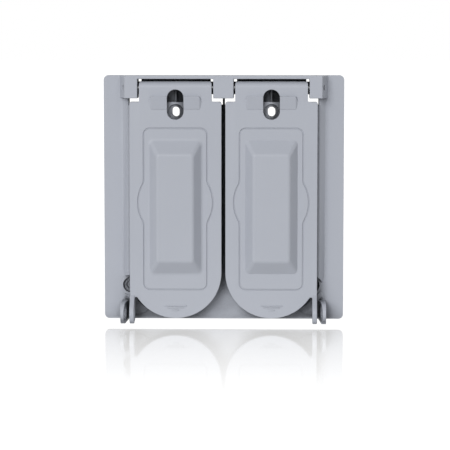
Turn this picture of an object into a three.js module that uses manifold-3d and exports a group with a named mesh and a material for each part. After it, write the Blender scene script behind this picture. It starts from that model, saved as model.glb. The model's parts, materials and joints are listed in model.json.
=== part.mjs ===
// Two-gang weatherproof wall cover with two self-closing lids, in millimetres.
// A cast base stands on a foam wall gasket. Each gang has a raised frame round its device opening, and a
// cast lid that hangs on a pin across the top and can be padlocked at its outer bottom corner.
// The shapes are drawn with x to the right, y up and z out from the wall. The exported group turns them
// so that +Z is up and the front faces -Y, with the origin at the centre of the wall face.
import * as THREE from "three";
import { ConvexGeometry } from "three/addons/geometries/ConvexGeometry.js";
import { mergeVertices } from "three/addons/utils/BufferGeometryUtils.js";
import Module from "manifold-3d";

const wasm = await Module();
wasm.setup();

// Plate and gangs
const GANG_PITCH = 46.04;
const PLATE_WIDTH = 115.9;
const PLATE_HEIGHT = 118.2;
const PLATE_CORNER = 2.3;
const OPENING_WIDTH = 33.4;
const OPENING_HEIGHT = 66.8;
const OPENING_CORNER = 2;
const SCREW_SPACING = 83.34;
const SCREW_SLOT_WIDTH = 3.6;
const SCREW_SLOT_HEIGHT = 4.8;
const SCREW_SEAT_RADIUS = 3.65;
const SCREW_SEAT_DEPTH = 1.6;

// Distances out from the wall
const WALL_GASKET_FRONT = 1.5;
const PLATE_BACK = 1.6;
const PLATE_FRONT = 4.2;
const FRAME_FRONT = 8.8;
const LID_BACK = 9.1;
const LID_SKIN_BACK = 11.2;
const LID_FRONT = 13.2;
const PANEL_FRONT = 18.2;

// Raised frame round each device opening, with a half-elliptical lower end
const FRAME_INNER_X = 1.55;
const FRAME_OUTER_X = 46.5;
const FRAME_FLANK = 3.0;
const FRAME_END_HEIGHT = 20.8;
const FRAME_END_DRAFT = 1.2;

// Lid outline, about its own gang centre
const LID_HALF = 22.05;
const LID_TOP = 46.6;
const LID_SHOULDER_CORNER = 1.0;
const LID_END_Y = -35.65;
const LID_WALL = 1.6;
const TONGUE_HALF = 17.35;
const TONGUE_CORNER = 1.4;
const NOTCH_FILLET = 0.8;

// Hinge
const PIN_Y = 53.3;
const PIN_Z = 10.0;
const PIN_RADIUS = 1.1;
const PIN_BORE_RADIUS = 1.3;
const PIN_NEAR_X = 1.3;
const PIN_FAR_X = 46.6;
const BARREL_RADIUS = 3.2;
const BARREL_CAVITY_RADIUS = 2.4;
const KNUCKLE_INNER = 14.0;
const BLOCK_HALF = 47.3;
const BLOCK_FLANK = 3.3;
const BLOCK_BOTTOM = 48.25;
const POCKET_HALF = 18.15;
const POCKET_TOP = 57.5;
const POCKET_BOTTOM = 46.4;
const POCKET_FLOOR = 4.0;
const POCKET_RIB_HALF = 0.4;
const POCKET_RIB_FRONT = 6.2;

// Openings that the casting leaves beside each tongue
const WINDOW_INNER = 16.9;
const WINDOW_OUTER = 22.5;
const WINDOW_BOTTOM = 44.9;
const WINDOW_SIDE_TOP = 49.9;
const CORNER_CORE_INNER = 16.7;
const CORNER_CORE_BOTTOM = 56.0;

// Screwdriver slot and finger bar on the lid
const SLOT_WIDTH = 8.0;
const SLOT_BOTTOM = 38.0;
const SLOT_TOP = 52.5;
const BAR_HALF = 11.6;
const BAR_POINT = 12.9;
const BAR_TOP = 49.3;
const BAR_BOTTOM = 43.1;
const BAR_HEIGHT = 1.7;
const BAR_FOOT_HEIGHT = 0.2;

// Raised panel and the groove round it
const PANEL_HALF = 12.95;
const PANEL_TOP = 28.9;
const PANEL_BOTTOM = -36.8;
const PANEL_CORNER = 2.2;
const PANEL_FACE_HALF = 8.75;
const PANEL_FACE_TOP = 21.6;
const PANEL_FACE_BOTTOM = -30.0;
const PANEL_WALL = 1.7;
const GROOVE_HALF = 15.2;
const GROOVE_TOP = 33.9;
const GROOVE_BOTTOM = -43.8;
const GROOVE_CORNER = 3.0;
const GROOVE_BULGE_Y = -1.7;
const GROOVE_BULGE_RADIUS = 18.0;
const GROOVE_BULGE_FILLET = 5.0;
const GROOVE_WIDTH = 0.6;
const GROOVE_DEPTH = 0.45;

// Grip ridges near the lid's lower end
const RIDGE_Y = [-51.7, -52.6, -53.8];
const RIDGE_LENGTH = [10.6, 8.0, 3.2];
const RIDGE_WIDTH = 0.55;
const RIDGE_HEIGHT = 0.35;

// Padlock ears
const EAR_Y = -55.05;
const EAR_Z = 14.6;
const EAR_RADIUS = 5.1;
const EAR_HOLE_RADIUS = 3.2;
const EAR_ROOT_BOTTOM = -PLATE_HEIGHT / 2;
const LID_EAR_TOP = EAR_Y + EAR_RADIUS * Math.SQRT2 + EAR_Z - LID_FRONT;
const LID_EAR_THICKNESS = 2.2;
const BASE_EAR_INNER_X = 47.8;
const BASE_EAR_THICKNESS = 1.6;
const BASE_EAR_FLARE = 1.9;

// Cast details on the base's corners
const CORNER_HOLES = [
  { x: -45.2, y: -42.6 },
  { x: 42.6, y: -42.6 },
];
const CORNER_HOLE_RADIUS = 3.7;
const CORNER_HOLE_INNER_RADIUS = 2.2;
const CORNER_HOLE_STEP = 3.2;
const CORNER_HOLE_FLOOR = 2.4;
const CORNER_BOSS_RADIUS = 4.8;
const CORNER_BOSS_HEIGHT = 0.5;
const CORNER_RELIEF_RADIUS = 5.2;
const EAR_PAD_X = 42.0;
const EAR_PAD_Y = -50.0;
const EAR_PAD_RADIUS = 7.0;
const EAR_PAD_HEIGHT = 0.8;

// Gaskets
const WALL_GASKET_INSET = 2.0;
const WALL_GASKET_OPENING_MARGIN = 0.8;
const WALL_GASKET_CORE_MARGIN = 0.4;
const LID_GASKET_GAP = 0.3;
const LID_GASKET_TOP = 36.9;
const LID_GASKET_OPENING_HALF = 17.6;
const LID_GASKET_OPENING_TOP = 35.2;
const LID_GASKET_SCREW_RADIUS = 4.2;

// Torsion spring round the pin, with one leg on the base and one behind the lid's hook
const WIRE_RADIUS = 0.35;
const COIL_RADIUS = 1.75;
const COIL_START_X = -12.6;
const COIL_PITCH = 0.86;
const COIL_TURNS = 6;
const BASE_LEG_ANGLE = THREE.MathUtils.degToRad(216.87);
const BASE_LEG_LENGTH = 5.6;
const LID_LEG_ANGLE = THREE.MathUtils.degToRad(174.3);
const LID_LEG_LENGTH = 5.3;
const HOOK_TOP = 49.8;
const HOOK_BOTTOM = 48.2;
const HOOK_BACK = 6.4;
const HOOK_LIP = 0.8;
const HOOK_POST_X = [-6.5, -5.1];
const HOOK_LIP_START_X = -8.6;

// Facets
const LARGE_ARC_STEPS = 36;
const SMALL_ARC_STEPS = 6;
const ROUND_STEPS = 32;
const HOLE_STEPS = 24;

const THROUGH = 40;

// Solids

function solid(geometry) {
  const bare = geometry.clone();
  bare.deleteAttribute("normal");
  bare.deleteAttribute("uv");
  const merged = mergeVertices(bare, 1e-4);
  return new wasm.Manifold(
    new wasm.Mesh({
      numProp: 3,
      vertProperties: new Float32Array(merged.attributes.position.array),
      triVerts: new Uint32Array(merged.index.array),
    }),
  );
}

function geometryOf(manifold) {
  const { vertProperties, triVerts } = manifold.getMesh();
  const geometry = new THREE.BufferGeometry();
  geometry.setAttribute("position", new THREE.BufferAttribute(vertProperties, 3));
  geometry.setIndex(new THREE.BufferAttribute(triVerts, 1));
  const flat = geometry.toNonIndexed();
  flat.computeVertexNormals();
  return flat;
}

function join(...parts) {
  return parts.flat(2).reduce((all, part) => all.add(part));
}

function cut(body, ...tools) {
  return tools.flat().reduce((rest, tool) => rest.subtract(tool), body);
}

function slab(shape, back, front) {
  const depth = front - back;
  const geometry = new THREE.ExtrudeGeometry(shape, { depth, bevelEnabled: false });
  return geometry.translate(0, 0, back);
}

function through(shape) {
  return solid(slab(shape, -THROUGH, THROUGH));
}

// A slab whose face at one level is redrawn by move(x, y), which returns that corner's new [x, y].
function draftedSlab(shape, back, front, level, move) {
  const geometry = slab(shape, back, front);
  const corners = geometry.attributes.position;
  for (let i = 0; i < corners.count; i += 1) {
    if (Math.abs(corners.getZ(i) - level) < 1e-3) {
      const [x, y] = move(corners.getX(i), corners.getY(i));
      corners.setXY(i, x, y);
    }
  }
  return geometry;
}

function box(x, y, z) {
  const geometry = new THREE.BoxGeometry(x[1] - x[0], y[1] - y[0], z[1] - z[0]);
  geometry.translate((x[0] + x[1]) / 2, (y[0] + y[1]) / 2, (z[0] + z[1]) / 2);
  return solid(geometry);
}

function discAlongZ(radius, x, y, back, front, steps = HOLE_STEPS) {
  const geometry = new THREE.CylinderGeometry(radius, radius, front - back, steps);
  geometry.rotateX(Math.PI / 2);
  return solid(geometry.translate(x, y, (back + front) / 2));
}

function rodAlongX(radius, start, end, y, z, steps = HOLE_STEPS) {
  const geometry = new THREE.CylinderGeometry(radius, radius, end - start, steps);
  geometry.rotateZ(Math.PI / 2);
  return solid(geometry.translate((start + end) / 2, y, z));
}

// Outlines

function arc(x, y, radiusX, radiusY, startAngle, endAngle, steps) {
  const clockwise = endAngle < startAngle;
  const curve = new THREE.EllipseCurve(x, y, radiusX, radiusY, startAngle, endAngle, clockwise);
  return curve.getPoints(steps);
}

function rectangle(x, y) {
  const corners = [[x[0], y[0]], [x[1], y[0]], [x[1], y[1]], [x[0], y[1]]];
  return new THREE.Shape(corners.map(([a, b]) => new THREE.Vector2(a, b)));
}

function roundedRectangle(x, y, radius, steps = SMALL_ARC_STEPS) {
  const quarter = Math.PI / 2;
  const centres = [
    [x[1] - radius, y[1] - radius],
    [x[0] + radius, y[1] - radius],
    [x[0] + radius, y[0] + radius],
    [x[1] - radius, y[0] + radius],
  ];
  const points = centres.flatMap(([a, b], i) =>
    arc(a, b, radius, radius, i * quarter, (i + 1) * quarter, steps));
  return new THREE.Shape(points);
}

// A slot with round ends, taller than it is wide.
function obround(width, height, x, y) {
  const radius = width / 2;
  const rise = height / 2 - radius;
  const steps = HOLE_STEPS / 2;
  return new THREE.Shape([
    ...arc(x, y + rise, radius, radius, 0, Math.PI, steps),
    ...arc(x, y - rise, radius, radius, Math.PI, 2 * Math.PI, steps),
  ]);
}

function mirrored(points, side) {
  return points.map((point) => new THREE.Vector2(point.x * side, point.y));
}

// Moves every point of a closed outline sideways by a distance, to the left of the direction of travel.
function offsetOutline(points, distance) {
  const count = points.length;
  return points.map((point, i) => {
    const before = points[(i + count - 1) % count];
    const after = points[(i + 1) % count];
    const along = new THREE.Vector2().subVectors(after, before).normalize();
    return new THREE.Vector2(point.x - along.y * distance, point.y + along.x * distance);
  });
}

// Base

function gangCentre(side) {
  return (side * GANG_PITCH) / 2;
}

function frameOutline(side) {
  const centre = (FRAME_INNER_X + FRAME_OUTER_X) / 2;
  const half = (FRAME_OUTER_X - FRAME_INNER_X) / 2;
  const end = arc(centre, LID_END_Y, half, FRAME_END_HEIGHT, 0, -Math.PI, LARGE_ARC_STEPS);
  const top = [new THREE.Vector2(FRAME_INNER_X, POCKET_TOP), new THREE.Vector2(FRAME_OUTER_X, POCKET_TOP)];
  return new THREE.Shape(mirrored([...end, ...top], side));
}

// The frame's outer flank and lower end spread out towards the plate.
function frame(side) {
  const spread = (FRAME_OUTER_X + FRAME_FLANK - FRAME_INNER_X) / (FRAME_OUTER_X - FRAME_INNER_X);
  const stretch = (FRAME_END_HEIGHT + FRAME_END_DRAFT) / FRAME_END_HEIGHT;
  return solid(draftedSlab(frameOutline(side), PLATE_BACK + 1, FRAME_FRONT, PLATE_BACK + 1, (x, y) => [
    side * (FRAME_INNER_X + (x * side - FRAME_INNER_X) * spread),
    y < LID_END_Y ? LID_END_Y + (y - LID_END_Y) * stretch : y,
  ]));
}

function hingeBlock() {
  const half = PLATE_HEIGHT / 2;
  const outline = rectangle([-BLOCK_HALF, BLOCK_HALF], [BLOCK_BOTTOM, half]);
  const spread = (BLOCK_HALF + BLOCK_FLANK) / BLOCK_HALF;
  return solid(draftedSlab(outline, PLATE_BACK + 1, LID_FRONT, PLATE_BACK + 1, (x, y) => [x * spread, y]));
}

function hingePocket(centre) {
  const across = [centre - POCKET_HALF, centre + POCKET_HALF];
  const deep = box(across, [BLOCK_BOTTOM - 0.6, POCKET_TOP], [POCKET_FLOOR, THROUGH]);
  const acrossTongue = [centre - WINDOW_INNER, centre + WINDOW_INNER];
  const lower = box(acrossTongue, [POCKET_BOTTOM, BLOCK_BOTTOM], [POCKET_FLOOR, THROUGH]);
  return join(deep, lower);
}

function pocketRib(centre) {
  const across = [centre - POCKET_RIB_HALF, centre + POCKET_RIB_HALF];
  return box(across, [POCKET_BOTTOM - 0.5, POCKET_TOP + 0.5], [POCKET_FLOOR - 1, POCKET_RIB_FRONT]);
}

// Openings through the casting beside the tongue, the same in the wall gasket but for a margin.
function coreOpenings(centre, margin) {
  return [-1, 1].flatMap((hand) => {
    const at = (inner, outer) =>
      [centre + hand * (inner - margin), centre + hand * (outer + margin)].sort((a, b) => a - b);
    return [
      rectangle(at(WINDOW_INNER, WINDOW_OUTER), [WINDOW_BOTTOM - margin, BLOCK_BOTTOM + margin]),
      rectangle(at(WINDOW_INNER, POCKET_HALF), [WINDOW_BOTTOM - margin, WINDOW_SIDE_TOP + margin]),
      rectangle(at(CORNER_CORE_INNER, POCKET_HALF), [CORNER_CORE_BOTTOM - margin, POCKET_TOP + margin]),
    ];
  });
}

function deviceOpening(centre, margin = 0) {
  const x = OPENING_WIDTH / 2 + margin;
  const y = OPENING_HEIGHT / 2 + margin;
  return roundedRectangle([centre - x, centre + x], [-y, y], OPENING_CORNER);
}

function screwHoles(centre) {
  return [-1, 1].flatMap((end) => {
    const y = (end * SCREW_SPACING) / 2;
    return [
      through(obround(SCREW_SLOT_WIDTH, SCREW_SLOT_HEIGHT, centre, y)),
      discAlongZ(SCREW_SEAT_RADIUS, centre, y, FRAME_FRONT - SCREW_SEAT_DEPTH, THROUGH),
    ];
  });
}

// A padlock ear in the plane across x, from one x to another. Its round tip starts at an angle from
// the y axis, and its root's corners are [y, z].
function ear(start, end, startAngle, root) {
  const tip = arc(EAR_Y, EAR_Z, EAR_RADIUS, EAR_RADIUS, startAngle, Math.PI, HOLE_STEPS);
  const corners = root.map(([y, z]) => new THREE.Vector2(y, z));
  const outline = new THREE.Shape([...tip, ...corners]);
  const geometry = new THREE.ExtrudeGeometry(outline, { depth: end - start, bevelEnabled: false });
  return geometry.applyMatrix4(new THREE.Matrix4().set(0, 0, 1, start, 1, 0, 0, 0, 0, 1, 0, 0, 0, 0, 0, 1));
}

function shackleHole(start, end) {
  return rodAlongX(EAR_HOLE_RADIUS, start, end, EAR_Y, EAR_Z, ROUND_STEPS);
}

// The base's ear grows thicker towards the plate, on the side that faces the lid.
function baseEar(side) {
  const inner = side * BASE_EAR_INNER_X;
  const outer = inner + side * BASE_EAR_THICKNESS;
  const root = [[EAR_ROOT_BOTTOM, PLATE_FRONT - 1], [EAR_Y + EAR_RADIUS, PLATE_FRONT - 1]];
  const geometry = ear(Math.min(inner, outer), Math.max(inner, outer), 0, root);
  const points = geometry.attributes.position;
  const front = EAR_Z + EAR_RADIUS;
  for (let i = 0; i < points.count; i += 1) {
    if (Math.abs(points.getX(i) - inner) < 1e-3) {
      const share = (front - points.getZ(i)) / (front - PLATE_FRONT);
      points.setX(i, inner - side * BASE_EAR_FLARE * share);
    }
  }
  return solid(geometry);
}

function cornerHole({ x, y }) {
  return [
    discAlongZ(CORNER_RELIEF_RADIUS, x, y, PLATE_FRONT + CORNER_BOSS_HEIGHT, THROUGH, ROUND_STEPS),
    discAlongZ(CORNER_HOLE_RADIUS, x, y, CORNER_HOLE_STEP, THROUGH, ROUND_STEPS),
    discAlongZ(CORNER_HOLE_INNER_RADIUS, x, y, CORNER_HOLE_FLOOR, THROUGH),
  ];
}

function cornerBoss({ x, y }) {
  return discAlongZ(CORNER_BOSS_RADIUS, x, y, PLATE_FRONT - 1, PLATE_FRONT + CORNER_BOSS_HEIGHT, ROUND_STEPS);
}

function earPad(side) {
  const front = PLATE_FRONT + EAR_PAD_HEIGHT;
  return discAlongZ(EAR_PAD_RADIUS, side * EAR_PAD_X, EAR_PAD_Y, PLATE_FRONT - 1, front, ROUND_STEPS);
}

function coverBase() {
  const sides = [-1, 1];
  const centres = sides.map(gangCentre);
  const halfWidth = PLATE_WIDTH / 2;
  const halfHeight = PLATE_HEIGHT / 2;
  const plate = roundedRectangle([-halfWidth, halfWidth], [-halfHeight, halfHeight], PLATE_CORNER);
  const raised = join(
    solid(slab(plate, PLATE_BACK, PLATE_FRONT)),
    sides.map(frame),
    hingeBlock(),
    CORNER_HOLES.map(cornerBoss),
    sides.map(earPad),
  );
  const opened = cut(
    raised,
    centres.map(hingePocket),
    centres.map((centre) => through(deviceOpening(centre))),
    centres.flatMap(screwHoles),
    CORNER_HOLES.flatMap(cornerHole),
  );
  const ribbed = cut(join(opened, centres.map(pocketRib)), centres.flatMap((centre) =>
    coreOpenings(centre, 0).map(through)));
  const bores = sides.map((side) => {
    const reach = [side * (PIN_NEAR_X - 0.3), side * THROUGH * 1.5].sort((a, b) => a - b);
    return rodAlongX(PIN_BORE_RADIUS, reach[0], reach[1], PIN_Y, PIN_Z);
  });
  return cut(join(ribbed, sides.map(baseEar)), bores, shackleHole(-THROUGH * 2, THROUGH * 2));
}

function wallGasket() {
  const x = PLATE_WIDTH / 2 - WALL_GASKET_INSET;
  const y = PLATE_HEIGHT / 2 - WALL_GASKET_INSET;
  const sheet = solid(slab(roundedRectangle([-x, x], [-y, y], PLATE_CORNER), 0, WALL_GASKET_FRONT));
  const holes = [-1, 1].map(gangCentre).flatMap((centre) => [
    deviceOpening(centre, WALL_GASKET_OPENING_MARGIN),
    ...[-1, 1].map((end) =>
      obround(SCREW_SLOT_WIDTH + 1, SCREW_SLOT_HEIGHT + 1, centre, (end * SCREW_SPACING) / 2)),
    ...coreOpenings(centre, WALL_GASKET_CORE_MARGIN),
  ]);
  return cut(sheet, holes.map(through));
}

// Lids, about their own gang centre, with the padlock ear on the side given

// The lower part of the lid: straight sides, a half-round end, and the strip that carries the ear.
function lidBodyOutline(side) {
  const earInner = LID_HALF - LID_EAR_THICKNESS;
  const filletX = earInner - NOTCH_FILLET;
  const filletDrop = Math.sqrt((LID_HALF + NOTCH_FILLET) ** 2 - filletX ** 2);
  const fillet = { x: filletX, y: LID_END_Y - filletDrop };
  const meet = Math.atan2(filletDrop, -filletX);
  const corner = LID_HALF - LID_SHOULDER_CORNER;
  const cornerY = LID_TOP - LID_SHOULDER_CORNER;
  const quarter = Math.PI / 2;
  const round = LID_SHOULDER_CORNER;
  const points = [
    ...arc(corner, cornerY, round, round, quarter, 0, SMALL_ARC_STEPS),
    new THREE.Vector2(LID_HALF, EAR_ROOT_BOTTOM),
    new THREE.Vector2(earInner, EAR_ROOT_BOTTOM),
    ...arc(fillet.x, fillet.y, NOTCH_FILLET, NOTCH_FILLET, 0, meet, SMALL_ARC_STEPS),
    ...arc(0, LID_END_Y, LID_HALF, LID_HALF, meet - Math.PI, -Math.PI, LARGE_ARC_STEPS).slice(1),
    ...arc(-corner, cornerY, round, round, Math.PI, quarter, SMALL_ARC_STEPS),
  ];
  return new THREE.Shape(mirrored(points, side));
}

// The hollow behind the lid, a wall's thickness inside its outline.
function lidHollowOutline(half, top) {
  const end = arc(0, LID_END_Y, half, half, 0, -Math.PI, LARGE_ARC_STEPS);
  return new THREE.Shape([...end, new THREE.Vector2(-half, top), new THREE.Vector2(half, top)]);
}

function tongue() {
  const end = PIN_Y + BARREL_RADIUS;
  const outline = roundedRectangle([-TONGUE_HALF, TONGUE_HALF], [LID_TOP - 9, end], TONGUE_CORNER);
  const wide = [-TONGUE_HALF, TONGUE_HALF];
  const hollow = [-KNUCKLE_INNER, KNUCKLE_INNER];
  const barrel = rodAlongX(BARREL_RADIUS, wide[0], wide[1], PIN_Y, PIN_Z, ROUND_STEPS);
  const skin = box(wide, [LID_TOP - 1, PIN_Y], [LID_SKIN_BACK, LID_FRONT]);
  const webs = [-1, 1].map((hand) => {
    const across = [hand * KNUCKLE_INNER, hand * TONGUE_HALF].sort((a, b) => a - b);
    return box(across, [LID_TOP - 1, PIN_Y], [LID_BACK, LID_SKIN_BACK + 0.5]);
  });
  const whole = join(barrel, skin, webs).intersect(through(outline));
  const behindSkin = box(hollow, [LID_TOP, PIN_Y], [0, LID_SKIN_BACK]);
  const behindPin = box(hollow, [PIN_Y - 1, THROUGH * 2], [0, PIN_Z]);
  const cavity = rodAlongX(BARREL_CAVITY_RADIUS, hollow[0], hollow[1], PIN_Y, PIN_Z);
  return cut(whole, behindSkin, behindPin, cavity);
}

function springHook() {
  const height = [HOOK_BOTTOM, HOOK_TOP];
  const post = box(HOOK_POST_X, height, [HOOK_BACK, LID_SKIN_BACK + 0.5]);
  const lip = box([HOOK_LIP_START_X, HOOK_POST_X[1]], height, [HOOK_BACK, HOOK_BACK + HOOK_LIP]);
  return join(post, lip);
}

// The panel's sloping sides run from its foot on the lid to its smaller flat face.
function panel(inset, foot, front) {
  const outline = roundedRectangle(
    [-PANEL_HALF + inset, PANEL_HALF - inset],
    [PANEL_BOTTOM + inset, PANEL_TOP - inset],
    PANEL_CORNER - inset / 2,
  );
  const footMiddle = (PANEL_TOP + PANEL_BOTTOM) / 2;
  const faceMiddle = (PANEL_FACE_TOP + PANEL_FACE_BOTTOM) / 2;
  const narrow = PANEL_FACE_HALF / PANEL_HALF;
  const shorten = (PANEL_FACE_TOP - PANEL_FACE_BOTTOM) / (PANEL_TOP - PANEL_BOTTOM);
  return solid(draftedSlab(outline, foot, front, front, (x, y) => [
    x * narrow,
    faceMiddle + (y - footMiddle) * shorten,
  ]));
}

// The groove's centre line: a rounded rectangle that bulges into an arc at each side.
function grooveLine() {
  const quarter = Math.PI / 2;
  const cornerX = GROOVE_HALF - GROOVE_CORNER;
  const reach = GROOVE_BULGE_RADIUS + GROOVE_BULGE_FILLET;
  const filletX = GROOVE_HALF + GROOVE_BULGE_FILLET;
  const filletRise = Math.sqrt(reach ** 2 - filletX ** 2);
  const lean = Math.atan2(filletRise, filletX);
  const steps = SMALL_ARC_STEPS;
  const r = GROOVE_BULGE_FILLET;
  const above = GROOVE_BULGE_Y + filletRise;
  const below = GROOVE_BULGE_Y - filletRise;
  const right = [
    ...arc(cornerX, GROOVE_BOTTOM + GROOVE_CORNER, GROOVE_CORNER, GROOVE_CORNER, -quarter, 0, steps),
    ...arc(filletX, below, r, r, Math.PI, Math.PI - lean, steps),
    ...arc(0, GROOVE_BULGE_Y, GROOVE_BULGE_RADIUS, GROOVE_BULGE_RADIUS, -lean, lean, 2 * steps).slice(1, -1),
    ...arc(filletX, above, r, r, Math.PI + lean, Math.PI, steps),
    ...arc(cornerX, GROOVE_TOP - GROOVE_CORNER, GROOVE_CORNER, GROOVE_CORNER, 0, quarter, steps),
  ];
  return [...right, ...mirrored(right, -1).reverse()];
}

function groove() {
  const ring = new THREE.Shape(offsetOutline(grooveLine(), -GROOVE_WIDTH / 2));
  ring.holes.push(new THREE.Path(offsetOutline(grooveLine(), GROOVE_WIDTH / 2)));
  return solid(slab(ring, LID_FRONT - GROOVE_DEPTH, LID_FRONT + 1));
}

// A bar that is highest along its upper edge, with ends that slope down into the lid's face.
function fingerBar() {
  const middle = (BAR_TOP + BAR_BOTTOM) / 2;
  const back = LID_FRONT - 0.5;
  const corners = [-1, 1].flatMap((hand) => [
    new THREE.Vector3(hand * BAR_HALF, BAR_TOP, LID_FRONT + BAR_HEIGHT),
    new THREE.Vector3(hand * BAR_HALF, BAR_BOTTOM, LID_FRONT + BAR_FOOT_HEIGHT),
    new THREE.Vector3(hand * BAR_POINT, middle, LID_FRONT - BAR_FOOT_HEIGHT),
    new THREE.Vector3(hand * BAR_HALF, BAR_TOP, back),
    new THREE.Vector3(hand * BAR_HALF, BAR_BOTTOM, back),
    new THREE.Vector3(hand * BAR_POINT, middle, back),
  ]);
  return solid(new ConvexGeometry(corners));
}

function gripRidges() {
  return RIDGE_Y.map((y, i) => {
    const half = RIDGE_LENGTH[i] / 2;
    const height = [y - RIDGE_WIDTH / 2, y + RIDGE_WIDTH / 2];
    return box([-half, half], height, [LID_FRONT - 0.5, LID_FRONT + RIDGE_HEIGHT]);
  });
}

function lid(side) {
  const tray = cut(
    solid(slab(lidBodyOutline(side), LID_BACK, LID_FRONT)),
    solid(slab(lidHollowOutline(LID_HALF - LID_WALL, LID_TOP - LID_WALL), 0, LID_SKIN_BACK)),
  );
  const edges = [side * (LID_HALF - LID_EAR_THICKNESS), side * LID_HALF].sort((a, b) => a - b);
  const root = [[EAR_ROOT_BOTTOM, LID_BACK], [LID_EAR_TOP, LID_BACK], [LID_EAR_TOP, LID_FRONT]];
  const padlockEar = solid(ear(edges[0], edges[1], Math.PI / 4, root));
  const slotHeight = SLOT_TOP - SLOT_BOTTOM;
  const slot = through(obround(SLOT_WIDTH, slotHeight, 0, (SLOT_TOP + SLOT_BOTTOM) / 2));
  const bores = rodAlongX(PIN_BORE_RADIUS, -THROUGH, THROUGH, PIN_Y, PIN_Z);
  const raised = [panel(0, LID_FRONT - 0.5, PANEL_FRONT), fingerBar(), gripRidges()];
  const front = join(tray, tongue(), raised);
  const behindPanel = panel(PANEL_WALL, LID_SKIN_BACK - 0.5, PANEL_FRONT - PANEL_WALL);
  const pierced = cut(front, groove(), behindPanel, slot);
  return cut(join(pierced, springHook(), padlockEar), bores, shackleHole(edges[0] - 0.5, edges[1] + 0.5));
}

function lidGasket() {
  const half = LID_HALF - LID_WALL - LID_GASKET_GAP;
  const ring = solid(slab(lidHollowOutline(half, LID_GASKET_TOP), LID_BACK, LID_SKIN_BACK - 0.1));
  const opening = roundedRectangle(
    [-LID_GASKET_OPENING_HALF, LID_GASKET_OPENING_HALF],
    [-LID_GASKET_OPENING_TOP, LID_GASKET_OPENING_TOP],
    OPENING_CORNER,
  );
  const screwRoom = discAlongZ(LID_GASKET_SCREW_RADIUS, 0, -SCREW_SPACING / 2, 0, THROUGH);
  return cut(ring, through(opening), screwRoom);
}

function hingePin(side) {
  const ends = [side * PIN_NEAR_X, side * PIN_FAR_X].sort((a, b) => a - b);
  const centre = gangCentre(side);
  return rodAlongX(PIN_RADIUS, ends[0] - centre, ends[1] - centre, PIN_Y, PIN_Z);
}

// The wire's centre line: a straight leg, the coil, and a straight leg, each running on from the last.
class SpringLine extends THREE.Curve {
  constructor() {
    super();
    this.turn = LID_LEG_ANGLE - BASE_LEG_ANGLE + 2 * Math.PI * COIL_TURNS;
    this.coilLength = this.turn * COIL_RADIUS;
    this.length = BASE_LEG_LENGTH + this.coilLength + LID_LEG_LENGTH;
  }

  coilPoint(angle) {
    const turned = (angle - BASE_LEG_ANGLE) / (2 * Math.PI);
    const y = PIN_Y + COIL_RADIUS * Math.sin(angle);
    const z = PIN_Z + COIL_RADIUS * Math.cos(angle);
    return new THREE.Vector3(COIL_START_X + COIL_PITCH * turned, y, z);
  }

  legPoint(angle, distance) {
    const along = new THREE.Vector3(0, Math.cos(angle), -Math.sin(angle));
    return this.coilPoint(angle).addScaledVector(along, distance);
  }

  getPoint(t) {
    const distance = t * this.length - BASE_LEG_LENGTH;
    if (distance < 0) return this.legPoint(BASE_LEG_ANGLE, distance);
    if (distance > this.coilLength) {
      return this.legPoint(BASE_LEG_ANGLE + this.turn, distance - this.coilLength);
    }
    return this.coilPoint(BASE_LEG_ANGLE + distance / COIL_RADIUS);
  }
}

function lidSpring() {
  const section = new THREE.Shape(arc(0, 0, WIRE_RADIUS, WIRE_RADIUS, 0, 2 * Math.PI, 6).slice(1));
  const extrudePath = new SpringLine();
  const steps = Math.round(extrudePath.length / 0.85);
  return solid(new THREE.ExtrudeGeometry(section, { steps, extrudePath, bevelEnabled: false }));
}

// Finishes

const castPaint = { color: 0xaeb2bb, roughness: 0.55, metalness: 0.1 };
const foam = { color: 0x26282b, roughness: 0.95, metalness: 0.0 };
const stainless = { color: 0xb9bcc0, roughness: 0.3, metalness: 1.0 };

function part(name, body, finish) {
  const mesh = new THREE.Mesh(geometryOf(body), new THREE.MeshStandardMaterial(finish));
  mesh.name = name;
  return mesh;
}

// Assembly

function gang(name, side) {
  const group = new THREE.Group();
  group.position.x = gangCentre(side);
  group.add(
    part(`${name}_lid`, lid(side), castPaint),
    part(`${name}_lid_gasket`, lidGasket(), foam),
    part(`${name}_hinge_pin`, hingePin(side), stainless),
    part(`${name}_lid_spring`, lidSpring(), stainless),
  );
  return group;
}

const cover = new THREE.Group();
cover.rotation.x = Math.PI / 2;
cover.add(
  part("cover_base", coverBase(), castPaint),
  part("wall_gasket", wallGasket(), foam),
  gang("left", -1),
  gang("right", 1),
);

export default cover;
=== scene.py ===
import json
import math

import bmesh
import bpy
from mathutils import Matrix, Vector
from mathutils.bvhtree import BVHTree
from mathutils.geometry import intersect_line_line_2d, intersect_point_line


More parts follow.
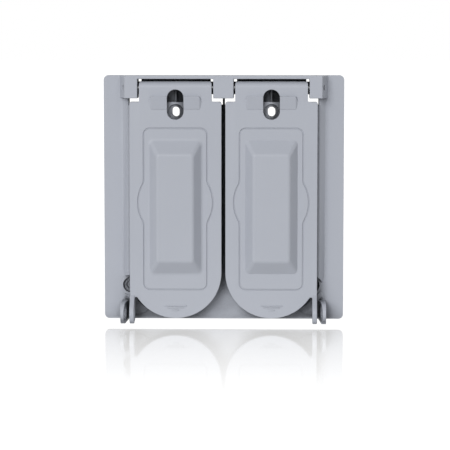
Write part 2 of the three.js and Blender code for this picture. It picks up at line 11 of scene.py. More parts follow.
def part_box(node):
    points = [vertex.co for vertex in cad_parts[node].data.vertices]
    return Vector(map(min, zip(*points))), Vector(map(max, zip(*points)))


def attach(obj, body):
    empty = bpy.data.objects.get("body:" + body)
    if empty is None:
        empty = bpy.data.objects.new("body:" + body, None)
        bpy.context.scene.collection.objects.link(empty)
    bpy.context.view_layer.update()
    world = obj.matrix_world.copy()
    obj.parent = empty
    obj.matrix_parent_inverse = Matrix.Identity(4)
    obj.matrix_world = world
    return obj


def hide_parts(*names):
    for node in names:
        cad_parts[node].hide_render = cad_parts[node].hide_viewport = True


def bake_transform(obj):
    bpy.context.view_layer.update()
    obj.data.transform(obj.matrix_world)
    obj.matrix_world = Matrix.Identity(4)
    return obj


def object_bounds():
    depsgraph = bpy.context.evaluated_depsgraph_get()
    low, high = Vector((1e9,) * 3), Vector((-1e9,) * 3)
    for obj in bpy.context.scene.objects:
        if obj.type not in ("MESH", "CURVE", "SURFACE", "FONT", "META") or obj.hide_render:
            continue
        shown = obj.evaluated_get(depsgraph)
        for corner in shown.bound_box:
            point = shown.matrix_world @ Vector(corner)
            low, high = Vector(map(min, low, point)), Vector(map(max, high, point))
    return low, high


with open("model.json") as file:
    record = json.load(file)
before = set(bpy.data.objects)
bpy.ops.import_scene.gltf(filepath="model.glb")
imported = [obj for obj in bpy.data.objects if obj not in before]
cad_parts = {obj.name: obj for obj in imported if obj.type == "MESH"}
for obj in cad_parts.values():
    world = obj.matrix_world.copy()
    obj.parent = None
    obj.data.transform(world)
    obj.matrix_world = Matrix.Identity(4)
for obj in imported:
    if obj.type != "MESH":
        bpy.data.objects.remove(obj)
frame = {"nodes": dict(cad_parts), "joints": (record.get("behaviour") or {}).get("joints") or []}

MM = 0.001
CAD_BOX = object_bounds()


def in_mm(metres):
    return round(metres / MM, 3)


# Lengths are in millimetres unless a line multiplies them by MM.

# Each gang's hinge stands in its middle, and both are at the same depth and height
GANGS = {"left": -1, "right": 1}
GANG_X, PIN_DEPTH, PIN_HEIGHT = (in_mm(abs(place)) for place in frame["joints"][0]["pos_m"])
PIN_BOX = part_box("left_hinge_pin")
PIN_RADIUS = in_mm((PIN_BOX[1].z - PIN_BOX[0].z) / 2)

# Depths out from the wall, as the castings have them
PLATE_FRONT = 4.2
FRAME_FRONT = 8.8
LID_FRONT = 13.2
ON_LEVEL = 0.15
ABOVE_LEVEL = 0.1

# Half widths and heights that tell the castings' features apart
PANEL_HALF = 13.1
PANEL_TOP = 29.0
PANEL_BOTTOM = -37.0
SLOT_HALF = 4.1
SLOT_BOTTOM = 37.0
BARREL_BOTTOM = 53.4
BARREL_HALF = 15.0
EAR_TOP = -46.3
LID_EAR_INNER = 19.8
BASE_EAR_INNER = 45.8
PLATE_RIM = 3.0
PLATE_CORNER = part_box("cover_base")[1] / MM
BORE_REACH = 1.5

# Edge radii
LARGEST_RADIUS = 0.9
PANEL_RADIUS = 0.9
PLATE_RADIUS = 0.7
FRAME_FOOT_RADIUS = 0.6
FRAME_RADIUS = 0.3
BORE_RADIUS = 0.2
RIM_RADIUS = 0.35
EAR_RADIUS = 0.4
SLOT_RADIUS = 0.35
RELIEF_RADIUS = 0.3
FOOT_RADIUS = 0.12
PLAIN_RADIUS = 0.28
FOAM_RADIUS = 0.45

# How edges are found and rounded. A sine is that of the angle between two edges.
WELD_DISTANCE = 0.0005
SHARP_ANGLE = math.radians(22)
FLAT_ANGLE = math.radians(0.3)
LONG_EDGE = 20
STRAIGHT_SINE = 0.002
RUN_ON_SINE = 0.4
SIDE_SINE = 0.35
BEVEL_STEPS = 3
NEIGHBOUR_SHARE = 0.42

# How faults in the rounding are found and cured
SIMPLE_CORNERS = 4
ROUNDING_CORNERS = 6
SPECK_AREA = 1e-6 * MM * MM
FACING_IN = -0.2
REPAIR_ROUNDS = 10
REPAIR_REACH = 0.9
REPAIR_SHARE = 0.6
SMALLEST_RADIUS = 0.1

# Hinge pins and springs
PIN_CHAMFER = 0.3
PIN_SIDES = 40
PIN_SHARP_ANGLE = math.radians(35)
WIRE_RADIUS = 0.35
WIRE_SIDES = 12
WIRE_END_SHARE = 0.6
COIL_RADIUS = 1.75
COIL_START = -12.6
COIL_PITCH = 0.86
COIL_TURNS = 6
COIL_STEPS_A_TURN = 28
BASE_LEG_ANGLE = math.radians(216.87)
BASE_LEG_LENGTH = 5.6
LID_LEG_ANGLE = math.radians(174.3)
LID_LEG_LENGTH = 5.3
LEG_STEPS = 4

# Paint: the size and height of its marks, and how much each one shows
PAINT_DARK = (0.415, 0.437, 0.492, 1)
PAINT_LIGHT = (0.438, 0.46, 0.514, 1)
PAINT_SPECK = (0.47, 0.49, 0.54, 1)
# Lighter edge colour: partly wear, partly a painted highlight where edges catch the light
PAINT_WORN_AND_LIT = (0.53, 0.55, 0.6, 1)
# Painted shade in creases
PAINT_CREASE_SHADE = (0.3, 0.315, 0.35, 1)
# Painted shade in hollows
PAINT_HOLLOW_SHADE = (0.01, 0.011, 0.013, 1)
PAINT_ROUGHNESS = (0.4, 0.52)
PAINT_SPECULAR = 0.35
BLOTCH_SIZE = 28
GLOSS_SIZE = 6
EDGE_PATCH_SIZE = 3.0
PEEL_SIZE = 1.3
PEEL_HEIGHT = 0.05
PEEL_STRENGTH = 0.25
GRAIN_SIZE = 0.35
GRAIN_HEIGHT = 0.02
GRAIN_STRENGTH = 0.2
SPECK_SHARE = 0.35
SPECK_GRAIN = (0.45, 0.8)
SHADED_RADIUS = 0.3
EDGE_FACING = (0.9, 0.995)
EDGE_PATCH_NOISE = (0.35, 0.7)
WORN_AND_LIT_SHARE = 0.35
# Painted shade in creases: its reach, the sky shares it fades over, and its strength
CREASE_SHADE_REACH = 1.2
CREASE_SHADE_SKY = (0.3, 0.75)
CREASE_SHADE_SHARE = 0.5

# Painted shade in the hollows. Each open-from value is the share of the sky above which a face gets no
# painted shade.
HOLLOW_SHADE_REACH = 14
HOLLOW_SHADE_SHARE = 0.97
BLACK_SHARE = 0.35
HOLLOW_SHADE_BOTTOM = (-60 * MM, -58 * MM)
BASE_OPEN_FROM = 0.56
LID_OPEN_FROM = 0.25
# In each screw pocket the painted shade is lighter at the left and darker at the right
POCKET_LEFT_OPEN = 0.1
POCKET_RIGHT_OPEN = 0.85
POCKET_MIDDLE = 46.0
POCKET_SIDES = (4.0 * MM, 7.0 * MM)
POCKET_ENDS = (5.0 * MM, 10.0 * MM)
POCKET_FADE = (-1.5 * MM, 1.5 * MM)

# Foam
FOAM_DARK = (0.016, 0.0165, 0.018, 1)
FOAM_LIGHT = (0.03, 0.031, 0.034, 1)
FOAM_PORE = (0.006, 0.006, 0.007, 1)
FOAM_BLOTCH_SIZE = 9
FOAM_ROUGHNESS = (0.82, 0.97)
FOAM_ROUGH_SIZE = 2
PORE_SIZE = 0.55
PORE_EDGE = (0.05, 0.35)
PORE_SHARE = 0.7
PORE_DEPTH = 0.12
PORE_STRENGTH = 0.6

# Steel
STEEL_DARK = (0.52, 0.53, 0.55, 1)
STEEL_LIGHT = (0.62, 0.625, 0.63, 1)
STEEL_SHADED = (0.05, 0.05, 0.052, 1)
STEEL_ROUGHNESS = (0.3, 0.5)
TARNISH_SIZE = 5
MARK_SIZE = 0.12
MARK_HEIGHT = 0.01
MARK_STRENGTH = 0.15
PIN_MARK_SCALE = (0.05, 1, 1)
WIRE_MARK_SCALE = (1, 1, 1)
# Painted shade on the steel
SHADE_REACH = 6
SHADE_SKY = (0.1, 0.5)
SHADE_SHARE = 0.9

OCCLUSION_SAMPLES = 4
BEVEL_SAMPLES = 6

# Studio
FLOOR_GAP = 1.8
FLOOR_SIZE = 12000 * MM
FLOOR_GLOW = 1.12
FLOOR_SHINE = 0.5
FLOOR_ROUGHNESS = 0.06
BESIDE_OBJECT = Vector((58, 20, 1000)) * MM
SHINE_FADE = 205 * MM
BOUNCE = 0.5
BOUNCE_BESIDE = 0.35
BOUNCE_REACH = 90 * MM
AMBIENT = 0.38
BACK_LIGHT = 0.05
KEY_POWER = 208
KEY_SIZE = 3000 * MM
KEY_DISTANCE = 6000 * MM
KEY_DIRECTION = Vector((-0.305, -0.89, 0.34))
CAMERA_PLACE = Vector((25, -1000, 87)) * MM
CAMERA_AIM = Vector((0.46, 0, -13.8)) * MM
CAMERA_LENS = 165.2
WHITE = (1, 1, 1, 1)


# Node trees

def new_material(name):
    material = bpy.data.materials.new(name)
    material.use_nodes = True
    material.node_tree.nodes.clear()
    return material


def add(tree, kind, settings=None, **inputs):
    """A node with its settings made, and with values or sockets put in its named or _numbered inputs."""
    node = tree.nodes.new("ShaderNode" + kind)
    for key, value in (settings or {}).items():
        setattr(node, key, value)
    for key, value in inputs.items():
        socket = node.inputs[int(key[1:])] if key[0] == "_" else node.inputs[key.replace("_", " ")]
        if isinstance(value, bpy.types.NodeSocket):
            tree.links.new(value, socket)
        else:
            socket.default_value = value
    return node


def noise(tree, where, size, detail=2.0, seed=0.0):
    """Fractal noise between 0 and 1 whose features are about that many millimetres wide."""
    node = add(
        tree, "TexNoise", {"noise_dimensions": "4D"},
        Vector=where, Scale=1 / (size * MM), Detail=detail, W=seed,
    )
    return node.outputs[0]


def span(tree, value, low, high, start=0.0, end=1.0):
    """Maps a value from start..end to low..high, and holds it at the ends."""
    node = add(tree, "MapRange", None, _0=value, _1=start, _2=end, _3=low, _4=high)
    return node.outputs[0]


def mix_colour(tree, share, first, second):
    return add(tree, "Mix", {"data_type": "RGBA"}, _0=share, _6=first, _7=second).outputs[2]


def math_node(tree, operation, first, second=0.0):
    return add(tree, "Math", {"operation": operation}, _0=first, _1=second).outputs[0]


def vector_node(tree, operation, first, second=(0, 0, 0)):
    return add(tree, "VectorMath", {"operation": operation}, _0=first, _1=second)


def open_sky(tree, reach):
    """The share of the sky that a point sees past everything within reach."""
    settings = {"samples": OCCLUSION_SAMPLES}
    return add(tree, "AmbientOcclusion", settings, Distance=reach * MM).outputs["AO"]


def finish_material(material, shader):
    add(material.node_tree, "OutputMaterial", None, Surface=shader)
    return material


# Materials

def unshaded_above(tree, where, outside):
    """The base's open-from value for painted shade: one outside the screw pockets, and in each of them less
    at its left, so that the painted shade there is lighter at the left and darker at the right.
    """
    apart = add(tree, "SeparateXYZ", None, Vector=where)
    centre = math_node(tree, "MULTIPLY", math_node(tree, "SIGN", apart.outputs["X"]), GANG_X * MM)
    across = math_node(tree, "SUBTRACT", apart.outputs["X"], centre)
    along = math_node(tree, "SUBTRACT", apart.outputs["Z"], POCKET_MIDDLE * MM)
    near_x = span(tree, math_node(tree, "ABSOLUTE", across), 1.0, 0.0, *POCKET_SIDES)
    near_z = span(tree, math_node(tree, "ABSOLUTE", along), 1.0, 0.0, *POCKET_ENDS)
    within = span(tree, across, POCKET_LEFT_OPEN, POCKET_RIGHT_OPEN, *POCKET_FADE)
    return span(tree, math_node(tree, "MULTIPLY", near_x, near_z), outside, within)


def hollow_shade_share(tree, where, open_from, has_pockets):
    """How black a point is with painted shade, which darkens hollows above the plate's lower edge."""
    unshaded_from = unshaded_above(tree, where, open_from) if has_pockets else open_from
    black_from = math_node(tree, "MULTIPLY", unshaded_from, BLACK_SHARE)
    hollow_darkness = span(tree, open_sky(tree, HOLLOW_SHADE_REACH), HOLLOW_SHADE_SHARE, 0.0, black_from, unshaded_from)
    height = add(tree, "SeparateXYZ", None, Vector=where).outputs["Z"]
    return math_node(tree, "MULTIPLY", hollow_darkness, span(tree, height, 0.0, 1.0, *HOLLOW_SHADE_BOTTOM))


def cast_paint(name, seed, open_from, has_pockets):
    """Satin grey paint on a die casting: orange peel, uneven gloss, lighter edges that are partly wear and
    partly a painted highlight, and painted shade in creases and hollows.
    """
    material = new_material(name)
    tree = material.node_tree
    where = add(tree, "TexCoord").outputs["Object"]
    peel = noise(tree, where, PEEL_SIZE, 1.0, seed)
    grain = noise(tree, where, GRAIN_SIZE, 2.0, seed)

    tone = mix_colour(tree, noise(tree, where, BLOTCH_SIZE, 2.0, seed), PAINT_DARK, PAINT_LIGHT)
    speckled = mix_colour(tree, span(tree, grain, 0.0, SPECK_SHARE, *SPECK_GRAIN), tone, PAINT_SPECK)

    rounded = add(tree, "Bevel", {"samples": BEVEL_SAMPLES}, Radius=SHADED_RADIUS * MM).outputs[0]
    normal = add(tree, "NewGeometry").outputs["Normal"]
    facing = vector_node(tree, "DOT_PRODUCT", rounded, normal).outputs["Value"]
    # Edges get a lighter colour, partly wear and partly a painted highlight of edges catching the light.
    edge = span(tree, facing, 1.0, 0.0, *EDGE_FACING)
    patches = span(tree, noise(tree, where, EDGE_PATCH_SIZE, 3.0, seed), 0.0, 1.0, *EDGE_PATCH_NOISE)
    worn_and_lit = math_node(tree, "MULTIPLY", math_node(tree, "MULTIPLY", edge, patches), WORN_AND_LIT_SHARE)
    edged = mix_colour(tree, worn_and_lit, speckled, PAINT_WORN_AND_LIT)

    # Painted shade: faces within a millimetre or so of other faces are darkened.
    crease_shade = span(tree, open_sky(tree, CREASE_SHADE_REACH), CREASE_SHADE_SHARE, 0.0, *CREASE_SHADE_SKY)
    crease_shaded = mix_colour(tree, crease_shade, edged, PAINT_CREASE_SHADE)
    # Painted shade: deep hollows, the gap between the lids and the screw pockets go near black, and the
    # paint's specular reflection is turned down with it.
    hollow_shade = hollow_shade_share(tree, where, open_from, has_pockets)
    hollow_shaded = mix_colour(tree, hollow_shade, crease_shaded, PAINT_HOLLOW_SHADE)

    peeled = add(
        tree, "Bump", None,
        Strength=PEEL_STRENGTH, Distance=PEEL_HEIGHT * MM, Height=peel, Normal=rounded,
    )
    grained = add(
        tree, "Bump", None,
        Strength=GRAIN_STRENGTH, Distance=GRAIN_HEIGHT * MM, Height=grain, Normal=peeled.outputs[0],
    )
    shader = add(
        tree, "BsdfPrincipled", None,
        Base_Color=hollow_shaded,
        Roughness=span(tree, noise(tree, where, GLOSS_SIZE, 3.0, seed), *PAINT_ROUGHNESS),
        Normal=grained.outputs[0],
        Specular_IOR_Level=span(tree, hollow_shade, PAINT_SPECULAR, 0.0),
    )
    return finish_material(material, shader.outputs[0])


def closed_cell_foam():
    """Near-black foam rubber with open pores along its cut surface."""
    material = new_material("closed_cell_foam")
    tree = material.node_tree
    where = add(tree, "TexCoord").outputs["Object"]
    cells = add(tree, "TexVoronoi", None, Vector=where, Scale=1 / (PORE_SIZE * MM)).outputs["Distance"]
    pores = span(tree, cells, 1.0, 0.0, *PORE_EDGE)
    tone = mix_colour(tree, noise(tree, where, FOAM_BLOTCH_SIZE, 3.0), FOAM_DARK, FOAM_LIGHT)
    pored = mix_colour(tree, math_node(tree, "MULTIPLY", pores, PORE_SHARE), tone, FOAM_PORE)
    rough = span(tree, noise(tree, where, FOAM_ROUGH_SIZE, 2.0), *FOAM_ROUGHNESS)
    bump = add(
        tree, "Bump", {"invert": True},
        Strength=PORE_STRENGTH, Distance=PORE_DEPTH * MM, Height=pores,
    )
    shader = add(tree, "BsdfPrincipled", None, Base_Color=pored, Roughness=rough, Normal=bump.outputs[0])
    return finish_material(material, shader.outputs[0])


def stainless(name, mark_scale):
    """Bright steel with fine drawing marks, longest along the axis with the smallest scale."""
    material = new_material(name)
    tree = material.node_tree
    where = add(tree, "TexCoord").outputs["Object"]
    stretched = add(tree, "Mapping", None, Vector=where, Scale=mark_scale).outputs[0]
    marks = noise(tree, stretched, MARK_SIZE, 3.0)
    tone = mix_colour(tree, noise(tree, where, TARNISH_SIZE, 3.0), STEEL_DARK, STEEL_LIGHT)
    # Painted shade: steel that sees little sky within a few millimetres is darkened.
    shade = span(tree, open_sky(tree, SHADE_REACH), SHADE_SHARE, 0.0, *SHADE_SKY)
    shaded_tone = mix_colour(tree, shade, tone, STEEL_SHADED)
    bump = add(tree, "Bump", None, Strength=MARK_STRENGTH, Distance=MARK_HEIGHT * MM, Height=marks)
    shader = add(
        tree, "BsdfPrincipled", None,
        Base_Color=shaded_tone,
        Roughness=span(tree, marks, *STEEL_ROUGHNESS),
        Metallic=1.0,
        Normal=bump.outputs[0],
    )
    return finish_material(material, shader.outputs[0])


# Rounded copies of the castings and gaskets

def new_piece(name, mesh, material):
    piece = bpy.data.objects.new(name, mesh)
    bpy.context.scene.collection.objects.link(piece)
    mesh.materials.clear()
    mesh.materials.append(material)
    for polygon in mesh.polygons:
        polygon.use_smooth = True
    return piece


def direction(edge):
    return (edge.verts[1].co - edge.verts[0].co).normalized()


def sine_between(first, second):
    return direction(first).cross(direction(second)).length


def squareness(edge, flat):
    """Near 1 for a short edge across a flat face that meets the face's outline squarely at both ends."""
    sines = [
        sine_between(edge, beside)
        for vert in edge.verts for beside in vert.link_edges if beside not in flat
    ]
    return min(sines, default=0.0) / (1 + edge.calc_length() / (LONG_EDGE * MM))


def join_flat_faces(work):
    """Joins coplanar triangles. Where a face has a hole, the squarest of the edges across it stay."""
    flat = {e for e in work.edges if e.is_manifold and e.calc_face_angle(0) < FLAT_ANGLE}
    waiting = sorted(flat, key=lambda e: (squareness(e, flat), e.index))
    joined = True
    while joined:
        joined = False
        for edge in waiting:
            if edge.is_valid and len(edge.link_faces) == 2:
                joined = bool(bmesh.utils.face_join(edge.link_faces)) or joined
        waiting = [edge for edge in waiting if edge.is_valid]


def drop_midpoints(work):
    """Removes corners that lie on a straight edge between two faces."""
    middles = [
        vert for vert in work.verts
        if len(vert.link_edges) == 2 and sine_between(*vert.link_edges) < STRAIGHT_SINE
    ]
    bmesh.ops.dissolve_verts(work, verts=middles)


def welded_copy(node):
    """The node's solid with its triangles joined into whole flat faces."""
    work = bmesh.new()
    work.from_mesh(frame["nodes"][node].data)
    bmesh.ops.remove_doubles(work, verts=work.verts, dist=WELD_DISTANCE * MM)
    work.edges.index_update()
    join_flat_faces(work)
    drop_midpoints(work)
    work.normal_update()
    return work


def room(edge):
    """How wide a rounding the faces beside an edge leave space for."""
    widest = LARGEST_RADIUS * MM
    for loop in edge.link_loops:
        for beside in (loop.link_loop_prev.edge, loop.link_loop_next.edge):
            across = sine_between(beside, edge)
            if across > SIDE_SINE:
                widest = min(widest, beside.calc_length() * across * NEIGHBOUR_SHARE)
    return widest


def wanted_radii(work, radius_at):
    """The radius that each sharp edge would have, by edge."""
    wanted = {}
    for edge in work.edges:
        if edge.is_manifold and edge.calc_face_angle(0) > SHARP_ANGLE:
            middle = (edge.verts[0].co + edge.verts[1].co) / 2 / MM
            wanted[edge] = radius_at(middle.x, middle.z, -middle.y, edge.is_convex) * MM
    return wanted


def sharp_chains(work, radius_at):
    """Groups sharp edges that run on from one another, as [radius that fits, [edge indices]]."""
    wanted = wanted_radii(work, radius_at)
    chains = []
    waiting = set(wanted)
    for first in wanted:
        if first not in waiting:
            continue
        waiting.remove(first)
        chain, ends = [], [first]
        while ends:
            edge = ends.pop()
            chain.append(edge)
            for vert in edge.verts:
                meeting = [e for e in vert.link_edges if e in wanted and e is not edge]
                for other in meeting:
                    runs_on = len(meeting) == 1 or sine_between(edge, other) < RUN_ON_SINE
                    if other in waiting and wanted[other] == wanted[edge] and runs_on:
                        waiting.remove(other)
                        ends.append(other)
        radius = min(wanted[first], min(room(edge) for edge in chain))
        chains.append([radius, [edge.index for edge in chain]])
    return chains


def crossings(mesh):
    """Points where a face's outline crosses itself, so that the face can't be filled."""
    found = []
    for polygon in mesh.polygons:
        if len(polygon.vertices) <= SIMPLE_CORNERS:
            continue
        corners = [mesh.vertices[i].co for i in polygon.vertices]
        turn = polygon.normal.rotation_difference(Vector((0, 0, 1)))
        flat = [(turn @ corner).to_2d() for corner in corners]
        sides = [(flat[i - 1], flat[i], corners[i - 1], corners[i]) for i in range(len(flat))]
        for i, (a, b, start, end) in enumerate(sides):
            for c, d, _, _ in sides[i + 2:len(sides) - (i == 0)]:
                if max(a.x, b.x) < min(c.x, d.x) or max(c.x, d.x) < min(a.x, b.x):
                    continue
                meeting = intersect_line_line_2d(a, b, c, d)
                if meeting and (b - a).length > 0:
                    found.append(start.lerp(end, (meeting - a).length / (b - a).length))
    return found


def folds(mesh, solid):
    """Points where the rounded surface has folded over, so that it faces into the solid."""
    found = []
    for polygon in mesh.polygons:
        if len(polygon.vertices) > ROUNDING_CORNERS or polygon.area < SPECK_AREA:
            continue
        _, normal, _, _ = solid.find_nearest(polygon.center)
        if normal.dot(polygon.normal) < FACING_IN:
            found.append(polygon.center.copy())
    return found


def distance(fault, first, second):
    """From a point to the nearest point of the edge between first and second."""
    place, share = intersect_point_line(fault, first, second)
    place = first if share < 0 else second if share > 1 else place
    return (place - fault).length


def soften_faults(piece, chains, solid):
    """Narrows the chains beside a fold or crossing, and marks as sharp those left without a rounding."""
    mesh = piece.data
    weights = mesh.attributes["bevel_weight_edge"].data
    for _ in range(REPAIR_ROUNDS):
        for radius, edges in chains:
            for index in edges:
                weights[index].value = radius / (LARGEST_RADIUS * MM)
        mesh.update()
        piece.update_tag()
        shown = piece.evaluated_get(bpy.context.evaluated_depsgraph_get()).to_mesh()
        faults = crossings(shown) + folds(shown, solid)
        narrowed = False
        for chain in chains:
            ends = [[mesh.vertices[i].co for i in mesh.edges[index].vertices] for index in chain[1]]
            close = any(distance(fault, *pair) < REPAIR_REACH * MM for fault in faults for pair in ends)
            if close and chain[0] > 0:
                chain[0] = chain[0] * REPAIR_SHARE if chain[0] > SMALLEST_RADIUS * MM else 0.0
                narrowed = True
        if not narrowed:
            break
    for radius, edges in chains:
        for index in edges:
            mesh.edges[index].use_edge_sharp = radius == 0


def rounded_copy(name, node, radius_at, material):
    """A piece with the node's shape whose sharp edges are rounded to radius_at(x, z, depth, convex)."""
    work = welded_copy(node)
    work.edges.index_update()
    solid = BVHTree.FromBMesh(work)
    work.edges.layers.float.new("bevel_weight_edge")
    chains = sharp_chains(work, radius_at)
    mesh = bpy.data.meshes.new(name)
    work.to_mesh(mesh)
    work.free()
    piece = new_piece(name, mesh, material)
    bevel = piece.modifiers.new("rounding", "BEVEL")
    bevel.limit_method = "WEIGHT"
    bevel.width = LARGEST_RADIUS * MM
    bevel.segments = BEVEL_STEPS
    bevel.use_clamp_overlap = False
    soften_faults(piece, chains, solid)
    shading = piece.modifiers.new("flat faces", "WEIGHTED_NORMAL")
    shading.keep_sharp = True
    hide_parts(node)
    return piece


def near(value, level):
    return abs(value - level) < ON_LEVEL


def lid_radius(x, z, depth, convex):
    u = abs(abs(x) - GANG_X)
    if z > BARREL_BOTTOM and u > BARREL_HALF:
        return 0
    if z < EAR_TOP and u > LID_EAR_INNER:
        return EAR_RADIUS
    if u < PANEL_HALF and PANEL_BOTTOM < z < PANEL_TOP and depth > LID_FRONT - ABOVE_LEVEL:
        return PANEL_RADIUS
    if depth > LID_FRONT - ABOVE_LEVEL and not convex:
        return FOOT_RADIUS
    if depth > LID_FRONT + ABOVE_LEVEL:
        return RELIEF_RADIUS
    if near(depth, LID_FRONT):
        return SLOT_RADIUS if u < SLOT_HALF and z > SLOT_BOTTOM else RIM_RADIUS
    return PLAIN_RADIUS


def base_radius(x, z, depth, convex):
    on_rim = abs(x) > PLATE_CORNER.x - PLATE_RIM or abs(z) > PLATE_CORNER.z - PLATE_RIM
    if abs(z - PIN_HEIGHT) < BORE_REACH and abs(depth - PIN_DEPTH) < BORE_REACH:
        return BORE_RADIUS
    if abs(x) > BASE_EAR_INNER and z < EAR_TOP and depth > PLATE_FRONT + ABOVE_LEVEL:
        return EAR_RADIUS
    if near(depth, PLATE_FRONT) and on_rim and convex:
        return PLATE_RADIUS
    if near(depth, PLATE_FRONT) and not convex:
        return FRAME_FOOT_RADIUS
    if near(depth, FRAME_FRONT):
        return FRAME_RADIUS
    if near(depth, LID_FRONT):
        return RIM_RADIUS
    return BORE_RADIUS


def foam_radius(x, z, depth, convex):
    return FOAM_RADIUS


# Turned pins and wire springs

def circle_angles(sides):
    return [2 * math.pi * step / sides for step in range(sides)]


def tube_mesh(name, rings):
    """A closed tube through rings of points, given in millimetres."""
    work = bmesh.new()
    hoops = [[work.verts.new(point * MM) for point in ring] for ring in rings]
    sides = len(hoops[0])
    for first, second in zip(hoops, hoops[1:]):
        for step in range(sides):
            after = (step + 1) % sides
            work.faces.new((first[step], first[after], second[after], second[step]))
    work.faces.new(list(reversed(hoops[0])))
    work.faces.new(hoops[-1])
    bmesh.ops.recalc_face_normals(work, faces=work.faces)
    mesh = bpy.data.meshes.new(name)
    work.to_mesh(mesh)
    work.free()
    return mesh


def turned(name, profile, start, material):
    """A piece turned about a line along x, from a profile of (distance along x, radius)."""
    rings = [
        [
            start + Vector((along, radius * math.cos(angle), radius * math.sin(angle)))
            for angle in circle_angles(PIN_SIDES)
        ]
        for along, radius in profile
    ]
    piece = new_piece(name, tube_mesh(name, rings), material)
    piece.data.set_sharp_from_angle(angle=PIN_SHARP_ANGLE)
    return piece


def coil_point(centre, angle):
    turned_by = (angle - BASE_LEG_ANGLE) / (2 * math.pi)
    height = PIN_HEIGHT + COIL_RADIUS * math.sin(angle)
    depth = PIN_DEPTH + COIL_RADIUS * math.cos(angle)
    return Vector((centre + COIL_START + COIL_PITCH * turned_by, -depth, height))


def leg_direction(angle):
    return Vector((0, math.sin(angle), math.cos(angle)))


def spring_line(centre):
    """The wire's centre line in millimetres: a leg, the coil and the other leg."""
    turn = LID_LEG_ANGLE - BASE_LEG_ANGLE + 2 * math.pi * COIL_TURNS
    steps = round(turn / (2 * math.pi) * COIL_STEPS_A_TURN)
    start, end = BASE_LEG_ANGLE, BASE_LEG_ANGLE + turn
    first = coil_point(centre, start)
    last = coil_point(centre, end)
    shares = [step / LEG_STEPS for step in range(1, LEG_STEPS + 1)]
    base_leg = [first - leg_direction(start) * BASE_LEG_LENGTH * share for share in reversed(shares)]
    coil = [coil_point(centre, start + turn * step / steps) for step in range(steps + 1)]
    lid_leg = [last + leg_direction(end) * LID_LEG_LENGTH * share for share in shares]
    return base_leg + coil + lid_leg


def swept_wire(name, line, radius, material):
    """A round wire along a line, its ends drawn in a little."""
    count = len(line)
    tangents = [(line[min(i + 1, count - 1)] - line[max(i - 1, 0)]).normalized() for i in range(count)]
    end_size = radius * WIRE_END_SHARE
    stations = [(line[0] - tangents[0] * radius * WIRE_END_SHARE, tangents[0], end_size)]
    stations += [(point, tangent, radius) for point, tangent in zip(line, tangents)]
    stations.append((line[-1] + tangents[-1] * radius * WIRE_END_SHARE, tangents[-1], end_size))
    side = tangents[0].orthogonal().normalized()
    rings = []
    for point, tangent, size in stations:
        side = (side - tangent * side.dot(tangent)).normalized()
        up = tangent.cross(side)
        rings.append([
            point + (side * math.cos(angle) + up * math.sin(angle)) * size
            for angle in circle_angles(WIRE_SIDES)
        ])
    return new_piece(name, tube_mesh(name, rings), material)


# Pieces

def build_base(foam):
    paint = cast_paint("cast_paint_base", 0.0, BASE_OPEN_FROM, True)
    casting = rounded_copy("cover_base_casting", "cover_base", base_radius, paint)
    gasket = rounded_copy("wall_gasket_foam", "wall_gasket", foam_radius, foam)
    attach(casting, "base")
    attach(gasket, "base")


def build_lid(side, seed, foam):
    body = f"{side}_lid"
    paint = cast_paint(f"cast_paint_{side}_lid", seed, LID_OPEN_FROM, False)
    casting = rounded_copy(f"{side}_lid_casting", f"{side}_lid", lid_radius, paint)
    gasket = rounded_copy(f"{side}_lid_gasket_foam", f"{side}_lid_gasket", foam_radius, foam)
    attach(casting, body)
    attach(gasket, body)


def build_pin(side, steel):
    node = f"{side}_hinge_pin"
    low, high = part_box(node)
    length = (high.x - low.x) / MM
    profile = [
        (0, PIN_RADIUS - PIN_CHAMFER),
        (PIN_CHAMFER, PIN_RADIUS),
        (length - PIN_CHAMFER, PIN_RADIUS),
        (length, PIN_RADIUS - PIN_CHAMFER),
    ]
    pin = turned(f"{node}_steel", profile, Vector((low.x / MM, -PIN_DEPTH, PIN_HEIGHT)), steel)
    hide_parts(node)
    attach(pin, "base")


def build_spring(side, steel):
    """A coiled spring with a base leg and a lid leg, built in its rest pose and attached to no body."""
    node = f"{side}_lid_spring"
    centre = GANGS[side] * GANG_X
    spring = swept_wire(f"{node}_wire", spring_line(centre), WIRE_RADIUS, steel)
    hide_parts(node)
    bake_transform(spring)


# Studio

def floor_material():
    """White to the camera, dimmer as a source of light, with a faint reflection close to the object."""
    material = new_material("studio_floor")
    tree = material.node_tree
    place = add(tree, "NewGeometry").outputs["Position"]
    aside = vector_node(tree, "ABSOLUTE", place).outputs[0]
    beyond = vector_node(tree, "SUBTRACT", aside, BESIDE_OBJECT).outputs[0]
    outside = vector_node(tree, "MAXIMUM", beyond).outputs[0]
    away = vector_node(tree, "LENGTH", outside).outputs["Value"]
    seen = add(tree, "LightPath").outputs["Is Camera Ray"]
    bounce = span(tree, away, BOUNCE_BESIDE, BOUNCE, 0.0, BOUNCE_REACH)
    glow = add(tree, "Emission", None, Strength=span(tree, seen, bounce, FLOOR_GLOW)).outputs[0]
    shine = add(tree, "BsdfGlossy", None, Color=WHITE, Roughness=FLOOR_ROUGHNESS).outputs[0]
    share = span(tree, away, FLOOR_SHINE, 0.0, 0.0, SHINE_FADE)
    mixed = add(tree, "MixShader", None, _0=share, _1=glow, _2=shine)
    return finish_material(material, mixed.outputs[0])


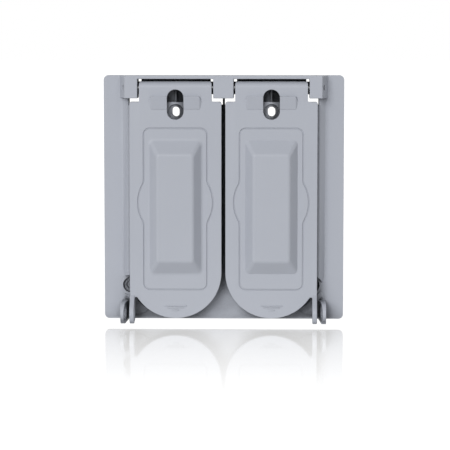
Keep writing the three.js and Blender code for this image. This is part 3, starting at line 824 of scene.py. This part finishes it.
def build_floor():
    half = FLOOR_SIZE / 2
    height = CAD_BOX[0].z - FLOOR_GAP * MM
    corners = [(-half, -half), (half, -half), (half, half), (-half, half)]
    mesh = bpy.data.meshes.new("studio_floor")
    mesh.from_pydata([(x, y, height) for x, y in corners], [], [(0, 1, 2, 3)])
    new_piece("studio_floor", mesh, floor_material())


def build_world():
    """A white sky, dimmer as a source of light, and a little brighter from behind the object."""
    world = bpy.data.worlds.new("studio")
    bpy.context.scene.world = world
    world.use_nodes = True
    tree = world.node_tree
    tree.nodes.clear()
    path = add(tree, "LightPath")
    bright = math_node(tree, "MAXIMUM", path.outputs["Is Camera Ray"], path.outputs["Is Glossy Ray"])
    sky_side = add(tree, "TexCoord").outputs["Generated"]
    behind = add(tree, "SeparateXYZ", None, Vector=sky_side).outputs["Y"]
    soft = span(tree, behind, AMBIENT, AMBIENT + BACK_LIGHT)
    sky = add(tree, "Background", None, Color=WHITE, Strength=span(tree, bright, soft, 1.0))
    add(tree, "OutputWorld", None, Surface=sky.outputs[0])


def build_key_light():
    light = bpy.data.lights.new("key", "AREA")
    light.shape = "SQUARE"
    light.size = KEY_SIZE
    light.energy = KEY_POWER
    lamp = bpy.data.objects.new("key", light)
    bpy.context.scene.collection.objects.link(lamp)
    lamp.location = KEY_DIRECTION.normalized() * KEY_DISTANCE
    lamp.rotation_euler = KEY_DIRECTION.to_track_quat("Z", "Y").to_euler()


def build_camera():
    data = bpy.data.cameras.new("camera")
    data.lens = CAMERA_LENS
    camera = bpy.data.objects.new("camera", data)
    bpy.context.scene.collection.objects.link(camera)
    camera.location = CAMERA_PLACE
    camera.rotation_euler = (CAMERA_AIM - CAMERA_PLACE).to_track_quat("-Z", "Y").to_euler()
    bpy.context.scene.camera = camera


def build():
    foam = closed_cell_foam()
    pin_steel = stainless("stainless_pin", PIN_MARK_SCALE)
    wire_steel = stainless("stainless_wire", WIRE_MARK_SCALE)
    build_base(foam)
    for seed, side in enumerate(GANGS, start=1):
        build_lid(side, float(seed), foam)
        build_pin(side, pin_steel)
        build_spring(side, wire_steel)
    build_floor()
    build_world()
    build_key_light()
    build_camera()
    bpy.context.scene.view_settings.view_transform = "Standard"


build()
